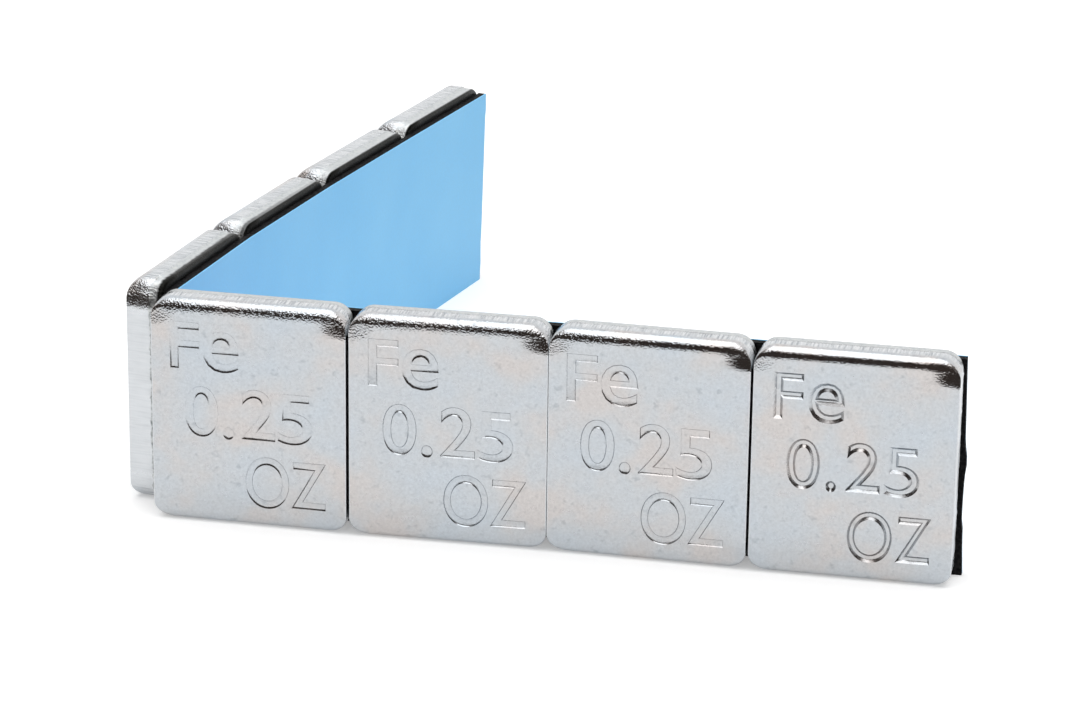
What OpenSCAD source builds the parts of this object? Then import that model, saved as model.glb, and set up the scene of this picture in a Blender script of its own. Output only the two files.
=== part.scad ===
// Strip of eight stick-on wheel balance weights, folded once and standing on its long edge.
// Each weight is a blanked steel plate. All eight sit on one length of foam tape with a release liner.
// Millimetres, Z up. X runs along the front arm and the steel of that arm faces -Y.

/* [Weight] */
// Length of one weight along the strip
weight_l = 16.1; // [12:0.1:24]
// Width of one weight across the strip, its height as the strip stands
weight_w = 19; // [14:0.1:25]
// Thickness of the steel plate
weight_t = 3.15; // [2.6:0.05:5]
// Corner radius of the blanked outline
corner_r = 1.6; // [1.4:0.1:4]
// Rounding that the die leaves along the long edges of the front face and round its corners
face_round = 1; // [0.4:0.05:1.2]
// Rounding round the back face, against the tape
back_round = 0.5; // [0.2:0.05:0.7]

/* [Cut edge] */
// Height of the broken band above the back face
break_h = 1.15; // [0.8:0.05:1.3]
// How far the broken band stands back from the sheared band
break_step = 0.08; // [0.03:0.01:0.15]

/* [Tape] */
// How much narrower the tape is than the weights, all of it at their upper edge
tape_short = 0.8; // [0:0.1:3]
// Thickness of the foam tape
foam_t = 0.65; // [0.4:0.05:1.2]
// Thickness of the release liner
liner_t = 0.1; // [0.06:0.01:0.2]
// Tape left past the last weight of the front arm, at its upper edge
overhang = 0.15; // [0:0.05:2]
// How far out of square the near end of the tape was cut, in degrees
near_slant = 1.3; // [0:0.1:3]
// How far out of square the far end of the tape was cut, in degrees
cut_slant = 3.5; // [0:0.5:5]

/* [Lay of the strip] */
// Gap between neighbouring weights
weight_gap = 0.2; // [0.2:0.05:1.5]
// Angle between the two arms, measured inside the fold
fold_angle = 82.2; // [60:0.1:120]
// Radius inside the fold, on the face of the liner
fold_inner = 0.4; // [0.2:0.05:1.5]
// Bend towards the liner between weights 1 and 2, in degrees
bend_1 = 0.3; // [-2.5:0.1:2.5]
// Bend towards the liner between weights 2 and 3
bend_2 = 1.3; // [-2.5:0.1:2.5]
// Bend towards the liner between weights 3 and 4
bend_3 = 2.4; // [-2.5:0.1:2.5]
// Bend towards the liner between weights 5 and 6
bend_5 = 1.6; // [-2.5:0.1:2.5]
// Bend towards the liner between weights 6 and 7
bend_6 = -2.1; // [-2.5:0.1:2.5]
// Bend towards the liner between weights 7 and 8
bend_7 = 1; // [-2.5:0.1:2.5]

/* [Hidden] */
$fn = 64;

// Weights are numbered along the strip, from the far end of the back arm to the near end of the front arm.
last = 8;
// The strip is folded just before this weight, which is the first of the front arm.
fold = 5;
// Turn towards the liner after each weight.
bends = [bend_1, bend_2, bend_3, 180 - fold_angle, bend_5, bend_6, bend_7];
pitch = weight_l + weight_gap;
tape_w = weight_w - tape_short;
tape_t = foam_t + liner_t;
// The edge runs from the broken band to the sheared band over this height.
break_ramp = 2 * break_step;
// How far a cutter reaches past what it cuts.
clear = 1;
// Radius at the tip of a notch between two weights, where the rounding of their faces dies out.
tip_r = 0.1;

function dir(a) = [cos(a), sin(a)];
// Heading of the strip at weight i, in degrees.
function heading(i) =
    i == fold ? 0
    : i > fold ? heading(i - 1) + bends[i - 2]
    : heading(i + 1) - bends[i - 1];
// Where the place of weight i begins, on the plane where the steel sits on the foam.
function place(i) =
    i == fold ? [0, 0]
    : i > fold ? place(i - 1) + pitch * dir(heading(i - 1))
    : place(i + 1) - pitch * dir(heading(i));
// A point a distance s along the place of weight i, and a depth d into the tape.
function along(i, s, d) = place(i) + s * dir(heading(i)) + d * dir(heading(i) + 90);
// The corner of the tape at the start of weight i's place, at a depth d.
function turn(i, d) =
    let (half = bends[i - 2] / 2) place(i) + d / cos(half) * dir(heading(i - 1) + half + 90);

// The tape begins level with the first weight and ends past the last one.
tape_from = weight_gap / 2;
near_run = tape_w * tan(near_slant);
tape_to = pitch - weight_gap / 2 + overhang + near_run;
// Outer radius of the fold, its centre, and the number of flats that make its curve.
fold_outer = fold_inner + tape_t;
fold_middle = turn(fold, fold_outer);
fold_steps = 24;

// Upright edges of the weights in plan as [x, y, radius], and the corners of the tape's two ends.
weight_edges = [
    for (i = [1:last], r = [back_round, 0], s = [r, weight_l - r])
        concat(along(i, weight_gap / 2 + s, r == 0 ? -weight_t : -r), [r])
];
tape_edges = [
    for (d = [0, tape_t]) each [concat(along(1, tape_from, d), [0]), concat(along(last, tape_to, d), [0])]
];
edges = concat(weight_edges, tape_edges);
middle_x = (min([for (e = edges) e[0] - e[2]]) + max([for (e = edges) e[0] + e[2]])) / 2;
middle_y = (min([for (e = edges) e[1] - e[2]]) + max([for (e = edges) e[1] + e[2]])) / 2;

// A quarter of a disc, rounding the corner that points to +X and to +Y or -Y.
module quarter(r, side) {
    intersection() {
        circle(r);
        translate([0, side > 0 ? 0 : -r]) square(r);
    }
}

// Section through the plate's edge: x out from the corner's centre, y from the back to the face.
module edge_section(roll) {
    broken = corner_r - break_step;
    if (roll > 0) {
        square([corner_r - roll, weight_t]);
        translate([corner_r - roll, weight_t - roll]) quarter(roll, 1);
    }
    translate([broken - back_round, back_round]) quarter(back_round, -1);
    polygon([
        [0, 0], [broken - back_round, 0], [broken - back_round, back_round], [broken, back_round],
        [broken, break_h - break_ramp], [corner_r, break_h], [corner_r, weight_t - roll], [0, weight_t - roll]
    ]);
}

// A corner of the rim, blanked while the weights were still one strip.
module corner() {
    rotate_extrude(angle = 90) edge_section(face_round);
}

// A long side of the rim, leading up to a corner.
module long_side() {
    rotate([90, 0, 0]) linear_extrude(weight_l - 2 * corner_r) edge_section(face_round);
}

// Section through what the rounding takes off round the tip of a notch.
module run_out() {
    difference() {
        translate([0, weight_t - face_round]) square([tip_r + face_round, face_round + clear]);
        translate([tip_r + face_round, weight_t - face_round]) circle(face_round);
    }
}

// A side where the weights were parted: its edge is sharp, and the rounding runs out at both ends.
module parted_side() {
    run = weight_w - 2 * corner_r;
    difference() {
        rotate([90, 0, 0]) linear_extrude(run) edge_section(0);
        translate([corner_r + tip_r, 0]) rotate_extrude() run_out();
        translate([corner_r + tip_r, -run]) rotate_extrude() run_out();
    }
}

// A plate lying on its back face, with its outline from the origin along +X and +Y.
module plate() {
    far_x = weight_l - corner_r;
    far_y = weight_w - corner_r;
    translate([far_x, far_y]) corner();
    translate([far_x, far_y]) parted_side();
    translate([corner_r, far_y]) rotate(90) corner();
    translate([corner_r, far_y]) rotate(90) long_side();
    translate([corner_r, corner_r]) rotate(180) corner();
    translate([corner_r, corner_r]) rotate(180) parted_side();
    translate([far_x, corner_r]) rotate(270) corner();
    translate([far_x, corner_r]) rotate(270) long_side();
    translate([corner_r, corner_r]) cube([far_x - corner_r, far_y - corner_r, weight_t]);
}

// Puts the strip's fold where the object's origin is midway under its outline.
module centred() {
    translate([-middle_x, -middle_y]) children();
}

// A weight standing at its place on the strip.
module weight(i) {
    color("silver") centred()
        translate(along(i, weight_gap / 2, 0)) rotate([90, 0, heading(i)]) plate();
}

// The line of the tape in plan at a depth d: along the back arm, round the fold, along the front arm.
function rail(d) = [
    along(1, tape_from, d),
    for (i = [2:fold - 1]) turn(i, d),
    for (k = [0:fold_steps])
        fold_middle + (fold_outer - d) * dir(heading(fold - 1) - 90 + bends[fold - 2] * k / fold_steps),
    for (i = [fold + 1:last]) turn(i, d),
    along(last, tape_to, d)
];
function reversed(list) = [for (k = [len(list) - 1:-1:0]) list[k]];

// A layer of the tape between two depths behind the steel.
module layer(d0, d1) {
    linear_extrude(tape_w) polygon(concat(rail(d0), reversed(rail(d1))));
}

// What the slanting cut at the far end takes off: the tape is shorter at its lower edge.
module far_cut() {
    run = tape_w * tan(cut_slant);
    translate(along(1, tape_from, tape_t + clear)) rotate([90, 0, heading(1)])
        linear_extrude(tape_t + 2 * clear)
            polygon([[0, tape_w], [-clear, tape_w], [-clear, -clear], [run, -clear], [run, 0]]);
}

// What the cut at the near end takes off: the tape is shorter at its upper edge.
module near_cut() {
    translate(along(last, tape_to, tape_t + clear)) rotate([90, 0, heading(last)])
        linear_extrude(tape_t + 2 * clear)
            polygon([[0, 0], [clear, 0], [clear, tape_w + clear], [-near_run, tape_w + clear], [-near_run, tape_w]]);
}

module foam_tape() {
    color([0.09, 0.09, 0.09]) centred() difference() {
        layer(0, foam_t);
        far_cut();
        near_cut();
    }
}

module release_liner() {
    color([0.53, 0.76, 0.93]) centred() difference() {
        layer(foam_t, tape_t);
        far_cut();
        near_cut();
    }
}

weight(1);  // weight_1
weight(2);  // weight_2
weight(3);  // weight_3
weight(4);  // weight_4
weight(5);  // weight_5
weight(6);  // weight_6
weight(7);  // weight_7
weight(8);  // weight_8
foam_tape();
release_liner();
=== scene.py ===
# %% [markdown]
# # A folded strip of stick-on wheel balance weights
#
# A tyre fitter sticks these small steel plates inside a wheel's rim to balance it. They come as a strip:
# eight zinc-plated plates on one length of black foam tape, with a blue liner over the sticky back.
# Here the strip is folded in the middle, liner inwards, and stands on its long edge.
#
# The construction is already packed as a frame of exact solids. This script loads it, models a finished
# piece over each solid, gives every surface its material, and sets up the floor, light and camera.
# Everything is in metres, and each piece lies exactly where its solid lies.

# %% Load the frame
import math

import bmesh
import bpy
from mathutils import Matrix, Vector, noise


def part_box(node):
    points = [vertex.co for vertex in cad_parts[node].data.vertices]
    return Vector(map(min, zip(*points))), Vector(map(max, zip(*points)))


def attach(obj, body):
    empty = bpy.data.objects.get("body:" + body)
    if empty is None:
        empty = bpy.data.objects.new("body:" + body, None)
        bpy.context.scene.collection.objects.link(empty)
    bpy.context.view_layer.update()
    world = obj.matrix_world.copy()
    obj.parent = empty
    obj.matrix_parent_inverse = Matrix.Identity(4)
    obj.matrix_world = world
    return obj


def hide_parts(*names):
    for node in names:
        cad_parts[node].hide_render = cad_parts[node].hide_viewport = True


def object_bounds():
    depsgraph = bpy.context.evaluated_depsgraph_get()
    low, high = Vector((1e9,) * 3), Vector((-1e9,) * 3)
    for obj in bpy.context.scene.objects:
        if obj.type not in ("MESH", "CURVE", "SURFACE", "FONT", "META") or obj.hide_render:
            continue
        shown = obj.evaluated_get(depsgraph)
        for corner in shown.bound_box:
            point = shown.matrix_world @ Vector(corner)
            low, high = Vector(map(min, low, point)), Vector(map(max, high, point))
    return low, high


MM = 0.001
# How far apart two points may lie and still count as level, and as one and the same.
LEVEL, SAME = MM / 100, MM / 1000

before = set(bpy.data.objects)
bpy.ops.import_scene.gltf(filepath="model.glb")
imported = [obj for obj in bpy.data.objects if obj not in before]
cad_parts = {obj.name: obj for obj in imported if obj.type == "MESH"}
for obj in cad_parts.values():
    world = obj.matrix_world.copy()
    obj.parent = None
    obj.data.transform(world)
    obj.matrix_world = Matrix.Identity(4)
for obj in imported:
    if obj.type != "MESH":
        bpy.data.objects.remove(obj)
cad_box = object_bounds()
print("frame, mm:", [[round(v / MM, 2) for v in corner] for corner in cad_box])

# %% [markdown]
# ## The strip's sizes
#
# These are the few sizes that the solids were drawn from. The plates are all alike, so they are
# modelled from the same numbers, and the numbers of the fold say where each one goes.
# The frame itself says where the strip stands: the first plate of the front arm is square to the axes,
# so its box gives the point where the fold begins.

# %% Sizes of the strip
WEIGHTS = 8
FIRST_OF_FRONT = 5
weight_l, weight_w, weight_t = 16.1 * MM, 19 * MM, 3.15 * MM
weight_gap = 0.2 * MM
corner_r = 1.6 * MM
face_round, back_round = 1 * MM, 0.3 * MM
break_h, break_step = 1.15 * MM, 0.08 * MM
foam_t, liner_t = 0.65 * MM, 0.1 * MM
tape_w = 18.2 * MM
overhang = 0.15 * MM
cut_slant, near_slant = math.radians(3.5), math.radians(1.3)
fold_inner = 0.4 * MM
# How far the strip turns towards the liner after each weight. The fourth turn is the fold.
turns = [math.radians(a) for a in (0.3, 1.3, 2.4, 97.8, 1.6, -2.1, 1.0)]

pitch = weight_l + weight_gap
low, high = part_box(f"weight_{FIRST_OF_FRONT}")
fold_point = Vector((low.x - weight_gap / 2, high.y))
print("fold at, mm:", [round(v / MM, 3) for v in fold_point])


# %% The strip's route in plan
def direction(angle):
    """A unit step in plan at an angle from X."""
    return Vector((math.cos(angle), math.sin(angle)))


def heading(i):
    """The strip's direction at weight i, counted from the far end of the back arm."""
    if i == FIRST_OF_FRONT:
        return 0.0
    if i > FIRST_OF_FRONT:
        return heading(i - 1) + turns[i - 2]
    return heading(i + 1) - turns[i - 1]


def place(i):
    """Where weight i's share of the strip begins, on the plane between steel and foam."""
    if i == FIRST_OF_FRONT:
        return fold_point.copy()
    if i > FIRST_OF_FRONT:
        return place(i - 1) + pitch * direction(heading(i - 1))
    return place(i + 1) - pitch * direction(heading(i))


def along(i, s, depth):
    """A point a distance s along weight i's share, and a depth into the tape behind the steel."""
    return place(i) + s * direction(heading(i)) + depth * direction(heading(i) + math.pi / 2)


# %% [markdown]
# ## Small helpers for working by hand
#
# An operator acts on all that is selected, so each step first clears the selection and then picks
# the vertices, edges or faces that it is meant for. These helpers do that picking by place.

# %% Helpers for selecting
def object_mode():
    """Leaves edit mode and clears the selection."""
    if bpy.context.object and bpy.context.object.mode != "OBJECT":
        bpy.ops.object.mode_set(mode="OBJECT")
    bpy.ops.object.select_all(action="DESELECT")


def make_active(obj):
    """Selects one object alone."""
    object_mode()
    obj.select_set(True)
    bpy.context.view_layer.objects.active = obj


def pick(obj, kind, test):
    """In edit mode, selects the verts, edges or faces that pass a test, and counts them."""
    bpy.ops.mesh.select_mode(type={"verts": "VERT", "edges": "EDGE", "faces": "FACE"}[kind])
    bpy.ops.mesh.select_all(action="DESELECT")
    mesh = bmesh.from_edit_mesh(obj.data)
    chosen = [item for item in getattr(mesh, kind) if test(item)]
    for item in chosen:
        item.select = True
    mesh.select_flush_mode()
    bmesh.update_edit_mesh(obj.data)
    return len(chosen)


def apply_modifier(obj, kind, **settings):
    """Adds a modifier with the given settings and applies it."""
    make_active(obj)
    modifier = obj.modifiers.new(kind.lower(), kind)
    for name, value in settings.items():
        setattr(modifier, name, value)
    bpy.ops.object.modifier_apply(modifier=modifier.name)


# %% [markdown]
# ## The blank plate
#
# The real plate is punched out of strip steel. The punch rounds the face, shears the upper part of the
# edge clean, and breaks the rest off a little further in, which leaves a ridge all the way round.
# It could be a bevelled cube, but then the ridge and the two different roundings are hard to place.
# So the outline is drawn first, as a plane with its corners rounded, and the edge's profile is grown
# from it with insets: upwards to the face, and downwards to the back. A last narrow inset that stays flat
# keeps the smooth shading of the rounding from spilling over the face.
#
# The long sides and the sides where two weights meet are cut into short pieces, so that the ridge can
# wander a little later on.

# %% Draw the outline at the height of the ridge
CORNER_PARTS, LONG_PARTS, SIDE_PARTS = 14, 32, 56
object_mode()
bpy.ops.mesh.primitive_plane_add(size=1, location=(0, 0, 0))
blank = bpy.context.object
blank.name = "plate_blank"
bpy.ops.object.mode_set(mode="EDIT")
bpy.ops.mesh.select_all(action="SELECT")
bpy.ops.transform.resize(value=(weight_l, weight_w, 1))
bpy.ops.transform.translate(value=(0, 0, break_h))
bpy.ops.mesh.bevel(offset=corner_r, segments=CORNER_PARTS, affect="VERTICES")
bpy.ops.mesh.delete(type="ONLY_FACE")
side_h = weight_w - 2 * corner_r
print("long edges:", pick(blank, "edges", lambda e: corner_r < e.calc_length() < side_h - MM))
bpy.ops.mesh.subdivide(number_cuts=LONG_PARTS - 1)
print("parted sides:", pick(blank, "edges", lambda e: e.calc_length() > side_h - MM))
bpy.ops.mesh.subdivide(number_cuts=SIDE_PARTS - 1)
bpy.ops.mesh.select_all(action="SELECT")
bpy.ops.mesh.edge_face_add()


# %% Grow the edge up to the face and down to the back
def rounded_inset(radius, steps):
    """Rolls the selected face's rim over by a quarter circle, with one inset for each step."""
    for k in range(steps):
        a0, a1 = (math.pi / 2 * n / steps for n in (k, k + 1))
        inwards = radius * (math.cos(a0) - math.cos(a1))
        outwards = radius * (math.sin(a1) - math.sin(a0))
        bpy.ops.mesh.inset(thickness=inwards, depth=outwards)


def extrude_by(height):
    """Extrudes the selection straight up or down."""
    bpy.ops.mesh.extrude_region_move(TRANSFORM_OT_translate={"value": (0, 0, height)})


FACE_STEPS, BACK_STEPS = 9, 5
flat_rim = 0.15 * MM
sheared_h = weight_t - face_round - break_h
break_ramp = 2 * break_step
extrude_by(sheared_h / 2)
bpy.ops.mesh.select_all(action="SELECT")
bpy.ops.mesh.normals_make_consistent(inside=False)
pick(blank, "faces", lambda f: f.normal.z > 0.9)
extrude_by(sheared_h / 2)
rounded_inset(face_round, FACE_STEPS)
bpy.ops.mesh.inset(thickness=flat_rim)
pick(blank, "faces", lambda f: f.normal.z < -0.9)
bpy.ops.mesh.inset(thickness=break_step, depth=break_ramp)
broken_h = break_h - break_ramp - back_round
extrude_by(-broken_h / 2)
extrude_by(-broken_h / 2)
rounded_inset(back_round, BACK_STEPS)
bpy.ops.mesh.inset(thickness=flat_rim)
bpy.ops.mesh.select_all(action="SELECT")
bpy.ops.mesh.normals_make_consistent(inside=False)
object_mode()
print("blank, mm:", [round(v / MM, 3) for v in blank.dimensions], "faces:", len(blank.data.polygons))

# %% [markdown]
# ## Rounded corners, sharp sides
#
# The weights were still one strip when their long edges and the notches between them were punched, and
# they were parted only afterwards. So the long edges have the wide rounding, it dies away round each
# corner, and the sides where two weights meet have edges that are almost sharp.
# The plate could be modelled with a bevel of changing width, but Blender's bevel keeps one width along a
# loop unless each edge has its own weight. Here the finished rounding is squeezed towards the rim
# instead: fully along the parted sides, and less and less round the corner towards the long edges.

# %% Let the rounding shrink round each corner
# The share of the rounding that is left on the parted sides.
TIP_SHARE = 0.06
# The plates are made this much longer, as neighbours almost touch.
NEARLY_TOUCHING = 1.004
tip_x, tip_y = weight_l / 2 - corner_r, side_h / 2
moved = 0
for v in blank.data.vertices:
    x, y, z = v.co
    out = Vector((abs(x) - tip_x, max(0.0, abs(y) - tip_y)))
    if out.x < SAME or z < weight_t - face_round - SAME:
        continue
    share = TIP_SHARE + (1 - TIP_SHARE) * (out.y / out.length) ** 2
    inset = corner_r - out.length
    inset = min(inset, face_round) * share + max(0.0, inset - face_round)
    out *= (corner_r - inset) / out.length
    v.co.x = math.copysign(tip_x + out.x, x)
    if abs(y) > tip_y:
        v.co.y = math.copysign(tip_y + out.y, y)
    v.co.z = weight_t - (weight_t - z) * share
    moved += 1
print("points moved:", moved)
blank.data.transform(Matrix.Diagonal((NEARLY_TOUCHING, 1, 1, 1)))
print("length of the blank, mm:", round(2 * max(v.co.x for v in blank.data.vertices) / MM, 3))

# %% [markdown]
# ## The stamped mark
#
# Each plate is stamped with what it is made of and what it weighs: the sign for iron, the number 0.25
# and the unit. A stamp leaves a flat floor with rounded walls, and it is these walls that catch the light,
# so the mark has to be real geometry and not only bump.
# Each sign is a text object with a rounded bevel, turned into a mesh and fitted to its place on the
# plate. Joined together they make a punch, which a Boolean modifier presses into each plate.
# There are two punches. The light one has narrow walls. The heavy one has wide walls, for the one plate
# that was struck hard.

# %% Make the two punches
# Each sign with its left, lower, right and upper edge on the plate, in mm from the plate's lower left.
SIGNS = [
    ("F", 1.5, 13.17, 3.85, 17.0), ("e", 4.25, 13.04, 7.15, 16.42),
    ("0", 2.69, 7.43, 5.33, 11.63), (".", 5.85, 7.37, 6.65, 8.3), ("2", 7.4, 7.53, 10.1, 11.7),
    ("5", 10.4, 7.38, 13.2, 11.56), ("O", 7.7, 1.68, 11.2, 6.0), ("Z", 11.5, 1.92, 14.3, 5.8),
]
TEXT_SIZE, TEXT_DEPTH = 6.5, 0.3
# How far the walls reach past those edges on each side.
SPREAD = 0.1
# How finely a sign's curves are cut, where it isn't the usual number of steps.
USUAL_STEPS = 10
CURVE_STEPS = {"e": 4, "2": 6}
# For each punch, the width of the walls, how far the outline is shifted, inwards below zero, before
# they widen it again, and the steps in their rounding.
LIGHT, HEAVY = (0.2, -0.1, 2), (0.34, -0.15, 1)


def sign_mesh(character, left, bottom, right, top, walls, shift, rounding):
    """One sign as a closed block with rounded walls, fitted to its place on the plate."""
    object_mode()
    bpy.ops.object.text_add(location=(0, 0, 0))
    sign = bpy.context.object
    sign.data.body = character
    sign.data.size = TEXT_SIZE
    sign.data.resolution_u = CURVE_STEPS.get(character, USUAL_STEPS)
    sign.data.extrude = TEXT_DEPTH
    sign.data.bevel_depth = walls
    sign.data.bevel_resolution = rounding
    sign.data.offset = shift
    bpy.ops.object.convert(target="MESH")
    sign = bpy.context.object
    xs = [v.co.x for v in sign.data.vertices]
    ys = [v.co.y for v in sign.data.vertices]
    zs = [v.co.z for v in sign.data.vertices]
    fit = (
        Matrix.Translation(((left - SPREAD) * MM - weight_l / 2, (bottom - SPREAD) * MM - weight_w / 2, 0))
        @ Matrix.Diagonal((
            (right - left + 2 * SPREAD) / (max(xs) - min(xs)) * MM,
            (top - bottom + 2 * SPREAD) / (max(ys) - min(ys)) * MM,
            MM, 1,
        ))
        @ Matrix.Translation((-min(xs), -min(ys), -min(zs)))
    )
    sign.data.transform(fit)
    return sign


def make_punch(name, walls, shift, rounding):
    """All the signs, joined into one punch."""
    signs = [sign_mesh(*row, walls, shift, rounding) for row in SIGNS]
    object_mode()
    for sign in signs:
        sign.select_set(True)
    bpy.context.view_layer.objects.active = signs[0]
    bpy.ops.object.join()
    made = bpy.context.object
    made.name = name
    bpy.ops.object.mode_set(mode="EDIT")
    bpy.ops.mesh.select_all(action="SELECT")
    bpy.ops.mesh.remove_doubles(threshold=SAME)
    bpy.ops.mesh.normals_make_consistent(inside=False)
    object_mode()
    print(name, "mm:", [round(v / MM, 2) for v in made.dimensions], "faces:", len(made.data.polygons))
    return made


light_punch = make_punch("light_punch", *LIGHT)
heavy_punch = make_punch("heavy_punch", *HEAVY)

# %% [markdown]
# ## Stamping and placing the eight weights
#
# The weights are copies of one blank, but no two are quite alike: the ridge of each edge wanders in its own
# way, and the stamp went in to its own depth. The weight at the open end of the front arm is struck
# deepest, and the one at the fold is hardly marked. The punch is stretched to make the walls steeper, and
# goes in just as deep as its rounded part.
# Each copy also keeps where its points lay on the strip while it was flat, as an attribute. The finish
# follows that, so its streaks run through the thickness of each plate whichever way the plate is turned.

# %% How each weight was struck
# For each weight, how steep the walls come out, and how far the stamp was off its place, in mm.
STRIKE = {
    1: (1.1, 0.05, 0.1), 2: (1.3, -0.1, 0), 3: (0.9, 0.1, -0.05), 4: (1.2, 0, 0.05),
    5: (0.8, 0.1, 0.1), 6: (1.08, 0.12, 0), 7: (1.12, 0, 0), 8: (2.2, 0.1, 0),
}
RIDGE_WANDER = 0.05 * MM


# %% Helpers for one weight
def copy_of(obj, name):
    """A copy of an object with a mesh of its own."""
    object_mode()
    twin = obj.copy()
    twin.data = obj.data.copy()
    twin.name = twin.data.name = name
    bpy.context.collection.objects.link(twin)
    return twin


def roughen_ridge(plate, seed):
    """Moves the points of the ridge a little, each its own way."""
    make_active(plate)
    bpy.ops.object.mode_set(mode="EDIT")
    pick(plate, "verts", lambda v: abs(v.co.z - break_h) < LEVEL)
    bpy.ops.transform.vertex_random(offset=RIDGE_WANDER, seed=seed)
    pick(plate, "verts", lambda v: abs(v.co.z - break_h + break_ramp) < LEVEL)
    bpy.ops.transform.vertex_random(offset=RIDGE_WANDER / 2, seed=seed + 20)
    object_mode()


def stamp(plate, i):
    """Presses a copy of a punch into a plate's face, as deep as its rounded walls reach."""
    steepness, right, above = STRIKE[i]
    walls, _, rounding = HEAVY if i == WEIGHTS else LIGHT
    depth = walls * MM * steepness * (1 - math.cos(rounding * math.pi / 2 / (rounding + 1)))
    tool = copy_of(heavy_punch if i == WEIGHTS else light_punch, "tool")
    place_in = Matrix.Translation((right * MM, above * MM, weight_t - depth))
    tool.data.transform(place_in @ Matrix.Diagonal((1, 1, steepness, 1)))
    apply_modifier(plate, "BOOLEAN", object=tool, operation="DIFFERENCE", solver="EXACT")
    bpy.data.meshes.remove(tool.data)


def keep_strip_place(obj, places):
    """Stores where each point lay on the flat strip: along it, up its width, and up from the back."""
    stored = obj.data.attributes.new("strip", "FLOAT_VECTOR", "POINT")
    stored.data.foreach_set("vector", [number for spot in places for number in spot])


# %% Give each weight its mark and its place
# Faces that meet at less than this are shaded as one smooth surface.
SMOOTH_BELOW = math.radians(30)
weights = {}
for i in range(1, WEIGHTS + 1):
    plate = copy_of(blank, f"balance_weight_{i}")
    roughen_ridge(plate, i)
    stamp(plate, i)
    keep_strip_place(plate, [v.co + Vector((i * pitch, weight_w / 2, 0)) for v in plate.data.vertices])
    make_active(plate)
    bpy.ops.object.shade_smooth_by_angle(angle=SMOOTH_BELOW)
    middle = along(i, weight_gap / 2 + weight_l / 2, 0)
    plate.matrix_world = (
        Matrix.Translation((middle.x, middle.y, weight_w / 2))
        @ Matrix.Rotation(heading(i), 4, "Z") @ Matrix.Rotation(math.pi / 2, 4, "X")
    )
    bpy.ops.object.transform_apply(location=True, rotation=True, scale=True)
    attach(plate, "root")
    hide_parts(f"weight_{i}")
    weights[i] = plate
for spare in (blank, light_punch, heavy_punch):
    bpy.data.meshes.remove(spare.data)
print("weights made:", len(weights))


# %% Compare the weights with their solids
def worst_miss(obj, node):
    """How far an object's box is from the box of the node it stands for, at its worst corner, in mm."""
    points = [v.co for v in obj.data.vertices]
    ends = [Vector((f(p[a] for p in points) for a in range(3))) for f in (min, max)]
    return max(abs(mine - its) / MM for e, b in zip(ends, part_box(node)) for mine, its in zip(e, b))


misses = {i: round(worst_miss(plate, f"weight_{i}"), 3) for i, plate in weights.items()}
print("weights off their solids, mm:", misses)
print("faces of the last weight:", len(weights[WEIGHTS].data.polygons))

# %% [markdown]
# ## The foam tape and the release liner
#
# The tape is one strip of foam that carries all eight plates. It follows every small bend and turns round
# the fold on a small radius. It could be a curve with a rectangle as its profile, but a curve pinches its
# profile where it turns that tightly.
# So an upright line is extruded step by step along the route in plan, the slanting ends are cut with bisect,
# and Solidify gives the ribbon its thickness on one side only, with the same thickness round the fold.
# The liner is made in the same way, just behind it.

# %% The tape's line in plan
FOLD_STEPS = 24
STEP = 1 * MM
fold_outer = fold_inner + foam_t + liner_t
near_run = tape_w * math.tan(near_slant)


def bend_corner(i, depth):
    """The tape's corner at the start of weight i's share, at a depth into the tape."""
    half = turns[i - 2] / 2
    return place(i) + depth / math.cos(half) * direction(heading(i - 1) + half + math.pi / 2)


def rail(depth):
    """The tape's line in plan at a depth, with a point at least at every step."""
    middle = bend_corner(FIRST_OF_FRONT, fold_outer)
    first = heading(FIRST_OF_FRONT - 1) - math.pi / 2
    corners = [along(1, weight_gap / 2, depth)]
    corners += [bend_corner(i, depth) for i in range(2, FIRST_OF_FRONT)]
    corners += [
        middle + (fold_outer - depth) * direction(first + turns[FIRST_OF_FRONT - 2] * k / FOLD_STEPS)
        for k in range(FOLD_STEPS + 1)
    ]
    corners += [bend_corner(i, depth) for i in range(FIRST_OF_FRONT + 1, WEIGHTS + 1)]
    corners += [along(WEIGHTS, pitch - weight_gap / 2 + overhang + near_run, depth)]
    points = corners[:1]
    for a, b in zip(corners, corners[1:]):
        parts = max(1, math.ceil((b - a).length / STEP))
        points += [a.lerp(b, k / parts) for k in range(1, parts + 1)]
    return points


print("points on the line:", len(rail(0)))


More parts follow.
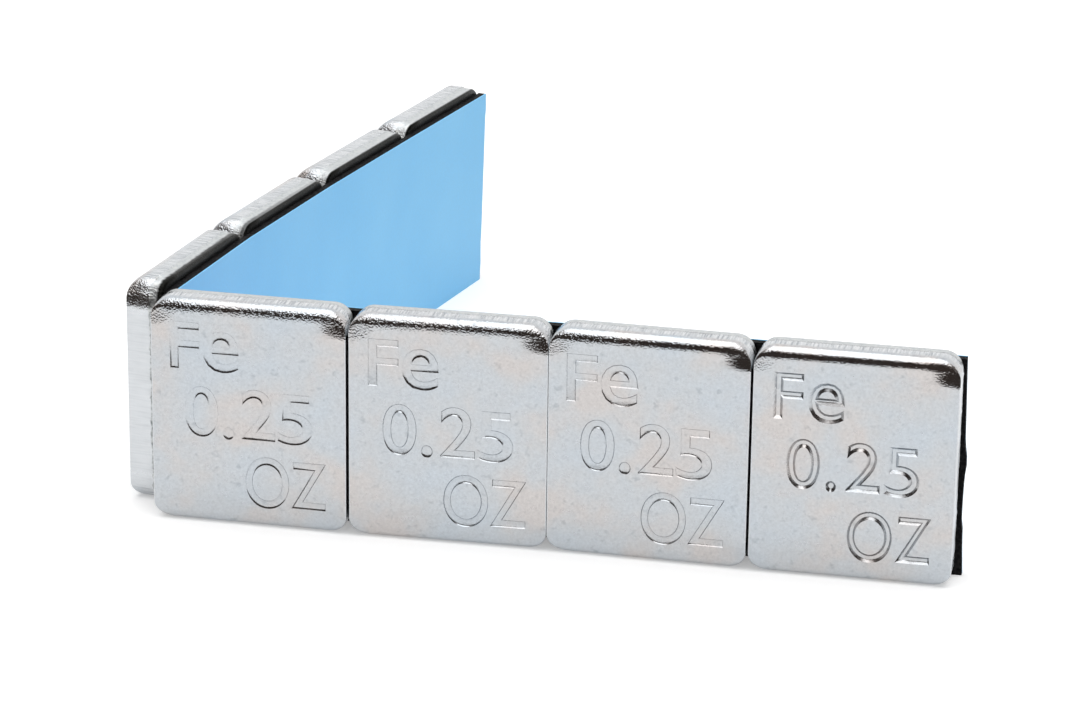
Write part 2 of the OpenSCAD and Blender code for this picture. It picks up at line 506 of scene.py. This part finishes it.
# %% Extrude an upright ribbon along the line
def ribbon(name, depth, thickness, cuts):
    """A strip of film or foam that stands on its edge, from a depth on."""
    points = rail(depth)
    object_mode()
    bpy.ops.mesh.primitive_plane_add(size=1, location=(0, 0, 0))
    made = bpy.context.object
    made.name = made.data.name = name
    bpy.ops.object.mode_set(mode="EDIT")
    pick(made, "verts", lambda v: v.co.x < 0)
    bpy.ops.mesh.delete(type="VERT")
    bpy.ops.mesh.select_all(action="SELECT")
    bpy.ops.transform.rotate(value=math.pi / 2, orient_axis="X", center_override=(0, 0, 0))
    bpy.ops.transform.resize(value=(1, 1, tape_w))
    bpy.ops.transform.translate(value=(points[0].x - 0.5, points[0].y, tape_w / 2))
    for a, b in zip(points, points[1:]):
        bpy.ops.mesh.extrude_region_move(TRANSFORM_OT_translate={"value": (b.x - a.x, b.y - a.y, 0)})
    pick(made, "edges", lambda e: abs(e.verts[0].co.z - e.verts[1].co.z) > tape_w / 2)
    bpy.ops.mesh.subdivide(number_cuts=cuts)
    for end, level, ahead, slant in (
        (points[0], tape_w, direction(heading(1)), cut_slant),
        (points[-1], 0, -direction(heading(WEIGHTS)), -near_slant),
    ):
        bpy.ops.mesh.select_all(action="SELECT")
        bpy.ops.mesh.bisect(
            plane_co=(end.x, end.y, level),
            plane_no=(ahead.x * math.cos(slant), ahead.y * math.cos(slant), math.sin(slant)),
            clear_inner=True,
        )
    object_mode()
    open_end = max(made.data.polygons, key=lambda f: f.center.x)
    side = 1 if open_end.normal.y > 0 else -1
    apply_modifier(made, "SOLIDIFY", thickness=thickness, offset=side, use_even_offset=True)
    return made


# %% Make the foam tape and its liner
WIDTH_CUTS = 23
foam = ribbon("foam_tape_strip", 0, foam_t, WIDTH_CUTS)
liner = ribbon("release_liner_film", foam_t, liner_t, WIDTH_CUTS)
print("foam off its solid, mm:", round(worst_miss(foam, "foam_tape"), 3), "faces:", len(foam.data.polygons))
print("liner off its solid, mm:", round(worst_miss(liner, "release_liner"), 3))


# %% [markdown]
# ## Cut edges
#
# A knife doesn't leave foam quite straight: the edges are a little lumpy, and the near end was trimmed by
# hand. A Displace modifier would move the flat sides as well, so the points of the long edges are moved
# one by one with noise, sideways or inwards only. At the near end the foam and its liner dip and bulge
# together, on a sine.

# %% Make the cut edges a little uneven
FOAM_UNEVEN = 0.06 * MM
FOAM_LUMP = 1.2 * MM
END_DIP, END_BULGE = 0.14 * MM, 0.15 * MM
# The dip and then the bulge end at these shares of the tape's width, counted from below.
DIP_TOP, BULGE_TOP = 0.45, 0.6
noise.seed_set(3)
for v in foam.data.vertices:
    if v.co.z < LEVEL or v.co.z > tape_w - LEVEL:
        lump = noise.noise_vector(v.co / FOAM_LUMP) * FOAM_UNEVEN
        lump.z = -abs(lump.z) if v.co.z > tape_w / 2 else 0
        v.co += lump
for piece in (foam, liner):
    for v in piece.data.vertices:
        up = v.co.z / tape_w
        if v.co.x < cad_box[1][0] - near_run - overhang:
            continue
        if up < DIP_TOP:
            v.co.x -= END_DIP * math.sin(math.pi * up / DIP_TOP)
        elif up < BULGE_TOP:
            v.co.x += END_BULGE * math.sin(math.pi * (up - DIP_TOP) / (BULGE_TOP - DIP_TOP))
print("foam off its solid, mm:", round(worst_miss(foam, "foam_tape"), 3))

# %% Say which solids the tape and the liner stand for
for piece, node_name, slot in ((foam, "foam_tape", "black_foam"), (liner, "release_liner", "blue_liner")):
    make_active(piece)
    bpy.ops.object.shade_smooth_by_angle(angle=SMOOTH_BELOW)
    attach(piece, "root")
    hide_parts(node_name)
    print(piece.name, "stands for", node_name)

# %% [markdown]
# ## Finishes
#
# Materials are built from nodes. A few helpers keep that readable: one adds a node and wires its inputs
# in the same call, and the others are for the steps that come up again and again: noise, arithmetic, a
# ramp of colours, and turning one range of numbers into another.


# %% Helpers for nodes
def new_material(name):
    """A material with its shader, and the tree to add to."""
    material = bpy.data.materials.new(name)
    material.use_nodes = True
    return material, material.node_tree, material.node_tree.nodes["Principled BSDF"]


def add(tree, kind, inputs=None, **settings):
    """Adds a node. An input is given a value, or is wired where a socket is given."""
    made = tree.nodes.new("ShaderNode" + kind)
    for name, value in settings.items():
        setattr(made, name, value)
    for name, value in (inputs or {}).items():
        if isinstance(value, bpy.types.NodeSocket):
            tree.links.new(value, made.inputs[name])
        else:
            made.inputs[name].default_value = value
    return made


def noise_of(tree, vector, size, detail=2.0, roughness=0.5):
    """Noise whose lumps are about a given size, from 0 to 1."""
    inputs = {"Vector": vector, "Scale": 1 / size, "Detail": detail, "Roughness": roughness}
    return add(tree, "TexNoise", inputs).outputs["Fac"]


def stretched(tree, vector, scale):
    """The same coordinates, stretched or squeezed along each axis."""
    return add(tree, "Mapping", {"Vector": vector, "Scale": scale}).outputs["Vector"]


def remap(tree, value, from_low, from_high, to_low=0.0, to_high=1.0):
    """Turns one range into another and holds it there, with soft ends."""
    inputs = {
        "Value": value, "From Min": from_low, "From Max": from_high, "To Min": to_low, "To Max": to_high,
    }
    return add(tree, "MapRange", inputs, interpolation_type="SMOOTHSTEP").outputs["Result"]


def math_of(tree, operation, a, b=0.0):
    """One step of arithmetic."""
    return add(tree, "Math", {0: a, 1: b}, operation=operation).outputs[0]


def times(tree, a, b):
    """Two values multiplied, which is also how one mask cuts another."""
    return math_of(tree, "MULTIPLY", a, b)


def ramp(tree, value, stops):
    """A ramp of colours, each with its place from 0 to 1."""
    made = add(tree, "ValToRGB", {"Fac": value})
    elements = made.color_ramp.elements
    while len(elements) < len(stops):
        elements.new(0.5)
    for element, (position, colour) in zip(elements, stops):
        element.position = position
        element.color = (*colour, 1)
    return made.outputs["Color"]


def blend(tree, factor, a, b, kind="MIX"):
    """Mixes or multiplies two colours."""
    made = add(tree, "Mix", {0: factor}, data_type="RGBA", blend_type=kind)
    for index, value in ((6, a), (7, b)):
        if isinstance(value, bpy.types.NodeSocket):
            tree.links.new(value, made.inputs[index])
        else:
            made.inputs[index].default_value = (*value, 1)
    return made.outputs[2]


# %% [markdown]
# ## Zinc plating
#
# The plating is a thin, slightly cloudy metal. It is a mirror that has been breathed on: it shows the white
# floor as a pale grey, a dark room as a brown-black band along the rounded edge, and a bright ceiling as a
# hard white band beside it. So it is a metallic shader with little roughness, and most of its look comes
# from fine bump that breaks up those bands, and from faint bluish and pinkish clouds.
# A painted image could hold all that. Here it is worked out from where a point lay on the flat strip,
# which needs no image and gives every plate a pattern of its own.

# %% Where a point lies on its plate
zinc, tree, shader = new_material("zinc_plating")
strip = add(tree, "Attribute", attribute_name="strip").outputs["Vector"]
axes = add(tree, "SeparateXYZ", {"Vector": strip}).outputs
along_strip, up_width, height = axes["X"], axes["Y"], axes["Z"]
off_middle = math_of(tree, "PINGPONG", along_strip, pitch / 2)
from_side = math_of(tree, "SUBTRACT", weight_l / 2, off_middle)
to_middle = math_of(tree, "ABSOLUTE", math_of(tree, "SUBTRACT", up_width, weight_w / 2))
from_edge = math_of(tree, "SUBTRACT", weight_w / 2, to_middle)
from_corner = add(tree, "CombineXYZ", {"X": from_side, "Y": from_edge}).outputs["Vector"]
from_corner = add(tree, "VectorMath", {0: from_corner}, operation="LENGTH").outputs["Value"]
print("nodes for the place:", len(tree.nodes))

# %% [markdown]
# ### Masks for the cut edge
#
# The edge of the plate is finished in bands, told apart by the height over the back: the rounded face, the
# sheared band with streaks that run through the thickness, and the coarse broken band. The borders are
# ragged, so noise is added to the height before it is compared. The sides where two plates were parted are
# sheared right up to the face. Close to the back the edge is painted near black, partly for foam residue that
# clings there and partly as painted shade where the steel meets the foam; on the back arm towards the fold
# this painted shade reaches further up.

# %% Masks for the cut edge
EDGE_WANDER = 0.35 * MM
face_starts = weight_t - face_round
wander = math_of(tree, "SUBTRACT", noise_of(tree, strip, 0.5 * MM, 3), 0.5)
ragged = math_of(tree, "ADD", height, times(tree, wander, EDGE_WANDER))
broken = remap(tree, ragged, break_h + 0.03 * MM, break_h - 0.05 * MM)
sheared = remap(tree, ragged, face_starts + 0.2 * MM, face_starts - 0.25 * MM)
parted = remap(tree, off_middle, weight_l / 2 - 0.08 * MM, weight_l / 2 - 0.02 * MM)
sheared = math_of(tree, "MAXIMUM", sheared, parted)
near_fold = math_of(tree, "LESS_THAN", along_strip, (FIRST_OF_FRONT - 0.5) * pitch)
near_fold = times(tree, near_fold, remap(tree, along_strip, 2 * pitch, 4 * pitch))
# Painted shade with some foam residue: the edge close to the back, reaching higher on the back arm near the
# fold.
residue_and_shade = remap(tree, height, 0.3 * MM, 0.12 * MM)
more_residue_and_shade = times(tree, remap(tree, ragged, 0.65 * MM, 0.35 * MM), near_fold)
residue_and_shade = math_of(tree, "MAXIMUM", residue_and_shade, more_residue_and_shade)
print("nodes with the cut edge's masks:", len(tree.nodes))

# %% [markdown]
# ### Masks for the stretched skin
#
# Along the long edges the punch pulled the steel down before it cut. There the skin is glossier and has a
# fine orange peel, and towards the corners the face sags. It isn't the same all round: the upper edge has
# more of it than the lower one, the right corners sag more than the left ones, and the peel fades towards
# the open end of the front arm. Modelled, the peel alone would take millions of faces, so both are bump.

# %% Masks for the stretched skin
WEAK, FULL = 0.3, 1.0
rolled = remap(tree, from_edge, 1.7 * MM, 0.9 * MM)
rolled = math_of(tree, "MAXIMUM", rolled, remap(tree, from_corner, 2.9 * MM, 2.0 * MM))
upper = remap(tree, up_width, 0.4 * weight_w, 0.6 * weight_w, WEAK, FULL)
# A plate's middle is at a whole number of pitches, so its right half has the lower remainders.
past_middle = math_of(tree, "FRACT", math_of(tree, "DIVIDE", along_strip, pitch))
right_half = math_of(tree, "LESS_THAN", past_middle, 0.5)
uneven = times(tree, remap(tree, right_half, 0.0, 1.0, WEAK, FULL), upper)
sag = times(tree, remap(tree, from_side, 3.2 * MM, 0.0), remap(tree, from_edge, 2.4 * MM, 0.5 * MM))
sag = times(tree, sag, uneven)
crest = remap(tree, from_edge, 0.6 * MM, 0.3 * MM, FULL, 0.4)
crest = times(tree, crest, remap(tree, along_strip, 5.6 * pitch, 8 * pitch, FULL, 0.4))
crest = times(tree, crest, upper)
peel = times(tree, noise_of(tree, strip, 0.15 * MM, 1, 0.5), times(tree, rolled, crest))
print("nodes with the stretched skin's masks:", len(tree.nodes))

# %% [markdown]
# ### Patterns, colour, gloss and relief
#
# Five noises of different sizes make all the patterns: broad clouds of tint, a fine grain, pits, the streaks
# of the shear, which are noise pulled out through the thickness, and the crumbs of the broken band.
# Each could be drawn anew for every channel. Used again for colour, gloss and relief they make one surface:
# a pit is darker and deeper, and a dark streak lies beside a pale one that stands up.

# %% Patterns of the plating
clouds = noise_of(tree, strip, 5 * MM, 3)
grain = noise_of(tree, strip, 0.22 * MM, 3, 0.65)
pits = noise_of(tree, strip, 0.8 * MM, 4, 0.6)
streaks = noise_of(tree, stretched(tree, strip, (1, 1, 0.06)), 0.16 * MM, 2)
crumbs = noise_of(tree, strip, 0.35 * MM, 4, 0.7)
print("nodes with the patterns:", len(tree.nodes))

# %% Colour of the face
WHITE = (1, 1, 1)
BLUISH, PLAIN, PINKISH = (0.505, 0.545, 0.585), (0.52, 0.54, 0.56), (0.555, 0.53, 0.52)
colour = ramp(tree, clouds, [(0.32, BLUISH), (0.5, PLAIN), (0.66, PINKISH)])
grain_shade = ramp(tree, grain, [(0.3, (0.86, 0.86, 0.86)), (0.7, WHITE)])
colour = blend(tree, 1.0, colour, grain_shade, "MULTIPLY")
pit_shade = ramp(tree, pits, [(0.3, (0.82, 0.83, 0.84)), (0.42, WHITE)])
colour = blend(tree, 1.0, colour, pit_shade, "MULTIPLY")
print("nodes with the face's colour:", len(tree.nodes))

# %% Colour of the cut edge
DARK_CUT, PALE_CUT, PARTED_CUT = (0.36, 0.38, 0.4), (0.63, 0.64, 0.65), (0.6, 0.62, 0.64)
DARK_BREAK, MID_BREAK, PALE_BREAK = (0.4, 0.43, 0.44), (0.53, 0.55, 0.56), (0.62, 0.63, 0.61)
DARK_CRUMB, PALE_CRUMB = (0.12, 0.14, 0.14), (0.6, 0.62, 0.62)
# Near black for foam residue and for the painted shade along the back edge.
RESIDUE_AND_SHADE = (0.012, 0.012, 0.011)
cut_colour = ramp(tree, streaks, [(0.3, DARK_CUT), (0.5, PLAIN), (0.7, PALE_CUT)])
cut_colour = blend(tree, times(tree, parted, 0.75), cut_colour, PARTED_CUT)
colour = blend(tree, sheared, colour, cut_colour)
broken_colour = ramp(tree, crumbs, [(0.3, DARK_BREAK), (0.5, MID_BREAK), (0.7, PALE_BREAK)])
parted_break = ramp(tree, crumbs, [(0.35, DARK_CRUMB), (0.6, PALE_CRUMB)])
broken_colour = blend(tree, times(tree, parted, 0.7), broken_colour, parted_break)
colour = blend(tree, broken, colour, broken_colour)
# The back edge takes that near black: foam residue and painted shade.
colour = blend(tree, residue_and_shade, colour, RESIDUE_AND_SHADE)
tree.links.new(colour, shader.inputs["Base Color"])
shader.inputs["Metallic"].default_value = 1.0
print("nodes with all the colours:", len(tree.nodes))

# %% Gloss of the plating
rough = remap(tree, pits, 0.3, 0.7, 0.2, 0.28)
for mask, change in ((rolled, -0.1), (sheared, 0.08), (broken, 0.15)):
    rough = math_of(tree, "ADD", rough, times(tree, mask, change))
tree.links.new(rough, shader.inputs["Roughness"])
print("nodes with the gloss:", len(tree.nodes))

# %% Relief of the plating
# The height of each pattern is given in microns.
MICRON = MM / 1000
# The streaks of the shear are much fainter on the parted sides.
drawn = math_of(tree, "SUBTRACT", sheared, times(tree, parted, 0.75))
relief = times(tree, grain, 9.0)
for pattern, microns in (
    (peel, 64.0), (sag, -540.0), (pits, 6.0),
    (times(tree, streaks, drawn), 18.0), (times(tree, crumbs, broken), 14.0),
):
    relief = math_of(tree, "ADD", relief, times(tree, pattern, microns))
bump = add(tree, "Bump", {"Strength": 1.0, "Distance": MICRON, "Height": relief})
tree.links.new(bump.outputs["Normal"], shader.inputs["Normal"])
for plate in weights.values():
    plate.data.materials.clear()
    plate.data.materials.append(zinc)
print("nodes in the plating:", len(tree.nodes))

# %% [markdown]
# ## Black foam
#
# The foam is closed cells of black rubber. It is almost without gloss, and the cells that the knife cut open
# show as small pits along the edges of the tape. Noise would give it soft hills. A Voronoi texture gives
# round cells with walls between them, so that is what drives the colour, the gloss and the bump.

# %% Black foam
CELL_SIZE = 0.22 * MM
CELL_FLOOR, CELL_SIDE, CELL_WALL = (0.002, 0.002, 0.002), (0.006, 0.006, 0.007), (0.016, 0.015, 0.014)
foam_black, tree, shader = new_material("black_foam")
spot = add(tree, "TexCoord").outputs["Object"]
cells = add(tree, "TexVoronoi", {"Vector": spot, "Scale": 1 / CELL_SIZE}).outputs["Distance"]
tone = ramp(tree, cells, [(0.1, CELL_FLOOR), (0.5, CELL_SIDE), (0.9, CELL_WALL)])
tree.links.new(tone, shader.inputs["Base Color"])
tree.links.new(remap(tree, cells, 0.0, 0.8, 0.85, 0.6), shader.inputs["Roughness"])
shader.inputs["Specular IOR Level"].default_value = 0.1
bump = add(tree, "Bump", {"Strength": 1.0, "Distance": 0.03 * MM, "Height": cells})
tree.links.new(bump.outputs["Normal"], shader.inputs["Normal"])
foam.data.materials.append(foam_black)
print("nodes in the foam:", len(tree.nodes))

# %% [markdown]
# ## Blue release liner
#
# The liner is a thin film of coloured plastic with a satin face. It is one even blue, with only the faintest
# waviness where it follows the foam, and a hint of a paler tone here and there. One flat colour would do
# from afar. Two noises, a broad one and a fine one, keep it from looking drawn.

# %% Blue liner
LINER_BLUE, LINER_PALE = (0.21, 0.605, 0.96), (0.235, 0.635, 0.98)
liner_blue, tree, shader = new_material("blue_liner")
spot = add(tree, "TexCoord").outputs["Object"]
drift = noise_of(tree, spot, 9 * MM, 2)
speck = noise_of(tree, spot, 0.25 * MM, 2)
tone = ramp(tree, drift, [(0.35, LINER_BLUE), (0.65, LINER_PALE)])
speck_shade = ramp(tree, speck, [(0.35, (0.97, 0.97, 0.97)), (0.65, WHITE)])
tone = blend(tree, 1.0, tone, speck_shade, "MULTIPLY")
tree.links.new(tone, shader.inputs["Base Color"])
tree.links.new(remap(tree, speck, 0.2, 0.8, 0.42, 0.5), shader.inputs["Roughness"])
waves = math_of(tree, "ADD", times(tree, drift, 20.0), speck)
bump = add(tree, "Bump", {"Strength": 0.6, "Distance": 2 * MICRON, "Height": waves})
tree.links.new(bump.outputs["Normal"], shader.inputs["Normal"])
liner.data.materials.append(liner_blue)
print("nodes in the liner:", len(tree.nodes))

# %% [markdown]
# ## Floor, light and background
#
# The strip stands on a white table in front of white paper. Metal looks like what it mirrors, so the
# surroundings matter more than the lamps: white below and behind, a dark room behind the camera, and a
# bright ceiling that makes the white line along each rounded edge. What the metal mirrors is drawn in the
# world, by direction, and the lamp overhead only lights the floor, the foam and the liner.
# The floor keeps the shadow. A little light of its own, only for the rays that look straight at it or by
# way of metal, brings the part outside the shadow up to white.

# %% Floor
FLOOR_SIZE = 6.0
FLOOR_GLOW = 0.3
object_mode()
bpy.ops.mesh.primitive_plane_add(size=FLOOR_SIZE, location=(0, 0, 0))
floor = bpy.context.object
floor.name = "floor"
paper, tree, shader = new_material("white_paper")
shader.inputs["Base Color"].default_value = (0.9, 0.9, 0.9, 1)
shader.inputs["Roughness"].default_value = 0.9
shader.inputs["Specular IOR Level"].default_value = 0.0
path = add(tree, "LightPath").outputs
seen = math_of(tree, "MAXIMUM", path["Is Camera Ray"], path["Is Glossy Ray"])
seen = math_of(tree, "MAXIMUM", seen, path["Is Transmission Ray"])
shader.inputs["Emission Color"].default_value = (1, 1, 1, 1)
tree.links.new(times(tree, seen, FLOOR_GLOW), shader.inputs["Emission Strength"])
floor.data.materials.append(paper)
print("floor, m:", FLOOR_SIZE)

# %% World
# How bright metal sees the room, the ceiling and the paper behind, and how much light there is all round.
ROOM, OVERHEAD, BEHIND = 0.05, 2.4, 1.2
AMBIENT = 0.45
ROOM_TINT = (1, 0.78, 0.68)
world = bpy.data.worlds.new("studio")
bpy.context.scene.world = world
world.use_nodes = True
tree = world.node_tree
background = tree.nodes["Background"]
way = add(tree, "SeparateXYZ", {"Vector": add(tree, "TexCoord").outputs["Generated"]}).outputs
overhead = remap(tree, way["Z"], 0.84, 0.9)
in_front = remap(tree, way["Y"], 0.35, 0.05)
paper_and_room = remap(tree, in_front, 0.0, 1.0, BEHIND, ROOM)
mirrored = add(tree, "Mix", {0: overhead, 2: paper_and_room, 3: OVERHEAD}, data_type="FLOAT").outputs[0]
path = add(tree, "LightPath").outputs
strength = add(tree, "Mix", {0: path["Is Glossy Ray"], 2: AMBIENT, 3: mirrored}, data_type="FLOAT").outputs[0]
strength = add(tree, "Mix", {0: path["Is Camera Ray"], 2: strength, 3: 1.0}, data_type="FLOAT").outputs[0]
in_room = times(tree, in_front, math_of(tree, "SUBTRACT", 1.0, overhead))
in_room = times(tree, in_room, path["Is Glossy Ray"])
tree.links.new(blend(tree, in_room, WHITE, ROOM_TINT), background.inputs["Color"])
tree.links.new(strength, background.inputs["Strength"])
print("nodes in the world:", len(tree.nodes))

# %% Overhead lamp
LAMP_HEIGHT, LAMP_POWER = 0.45, 2.2
bpy.ops.object.light_add(type="AREA", location=(0, -0.1, LAMP_HEIGHT))
lamp = bpy.context.object
lamp.name = "overhead"
lamp.data.shape = "RECTANGLE"
lamp.data.size, lamp.data.size_y = 0.6, 0.62
lamp.data.energy = LAMP_POWER
lamp.visible_glossy = False
print("lamp, W:", round(lamp.data.energy, 2))

# %% [markdown]
# ## Camera
#
# The photograph was taken with a long lens from a little above, looking down on the strip by about twenty
# degrees. It could be aimed with a Track To constraint, but that leaves no roll. So its place is given from
# the middle of the strip, and its three angles are those that make the plates' edges run as they do in
# the picture.

# %% Camera
PICTURE_W = 1080
FOCAL_PX = 4037.1
CAMERA_PLACE = Vector((62.276, -326.542, 123.897)) * MM
PITCH, YAW, ROLL = math.radians(19.76), math.radians(-11.87), math.radians(0.75)
camera_data = bpy.data.cameras.new("camera")
camera_data.sensor_width = 36
camera_data.lens = FOCAL_PX / PICTURE_W * camera_data.sensor_width
camera_data.clip_start = 0.01
camera = bpy.data.objects.new("camera", camera_data)
bpy.context.collection.objects.link(camera)
camera.location = CAMERA_PLACE
forward = Vector((math.sin(YAW) * math.cos(PITCH), math.cos(YAW) * math.cos(PITCH), -math.sin(PITCH)))
level = Vector((math.cos(YAW), -math.sin(YAW), 0))
above = level.cross(forward)
right = math.cos(ROLL) * level + math.sin(ROLL) * above
up = -math.sin(ROLL) * level + math.cos(ROLL) * above
camera.rotation_euler = Matrix((right, up, -forward)).transposed().to_euler()
bpy.context.scene.camera = camera
bpy.context.scene.view_settings.view_transform = "Standard"
print("lens, mm:", round(camera_data.lens, 1))
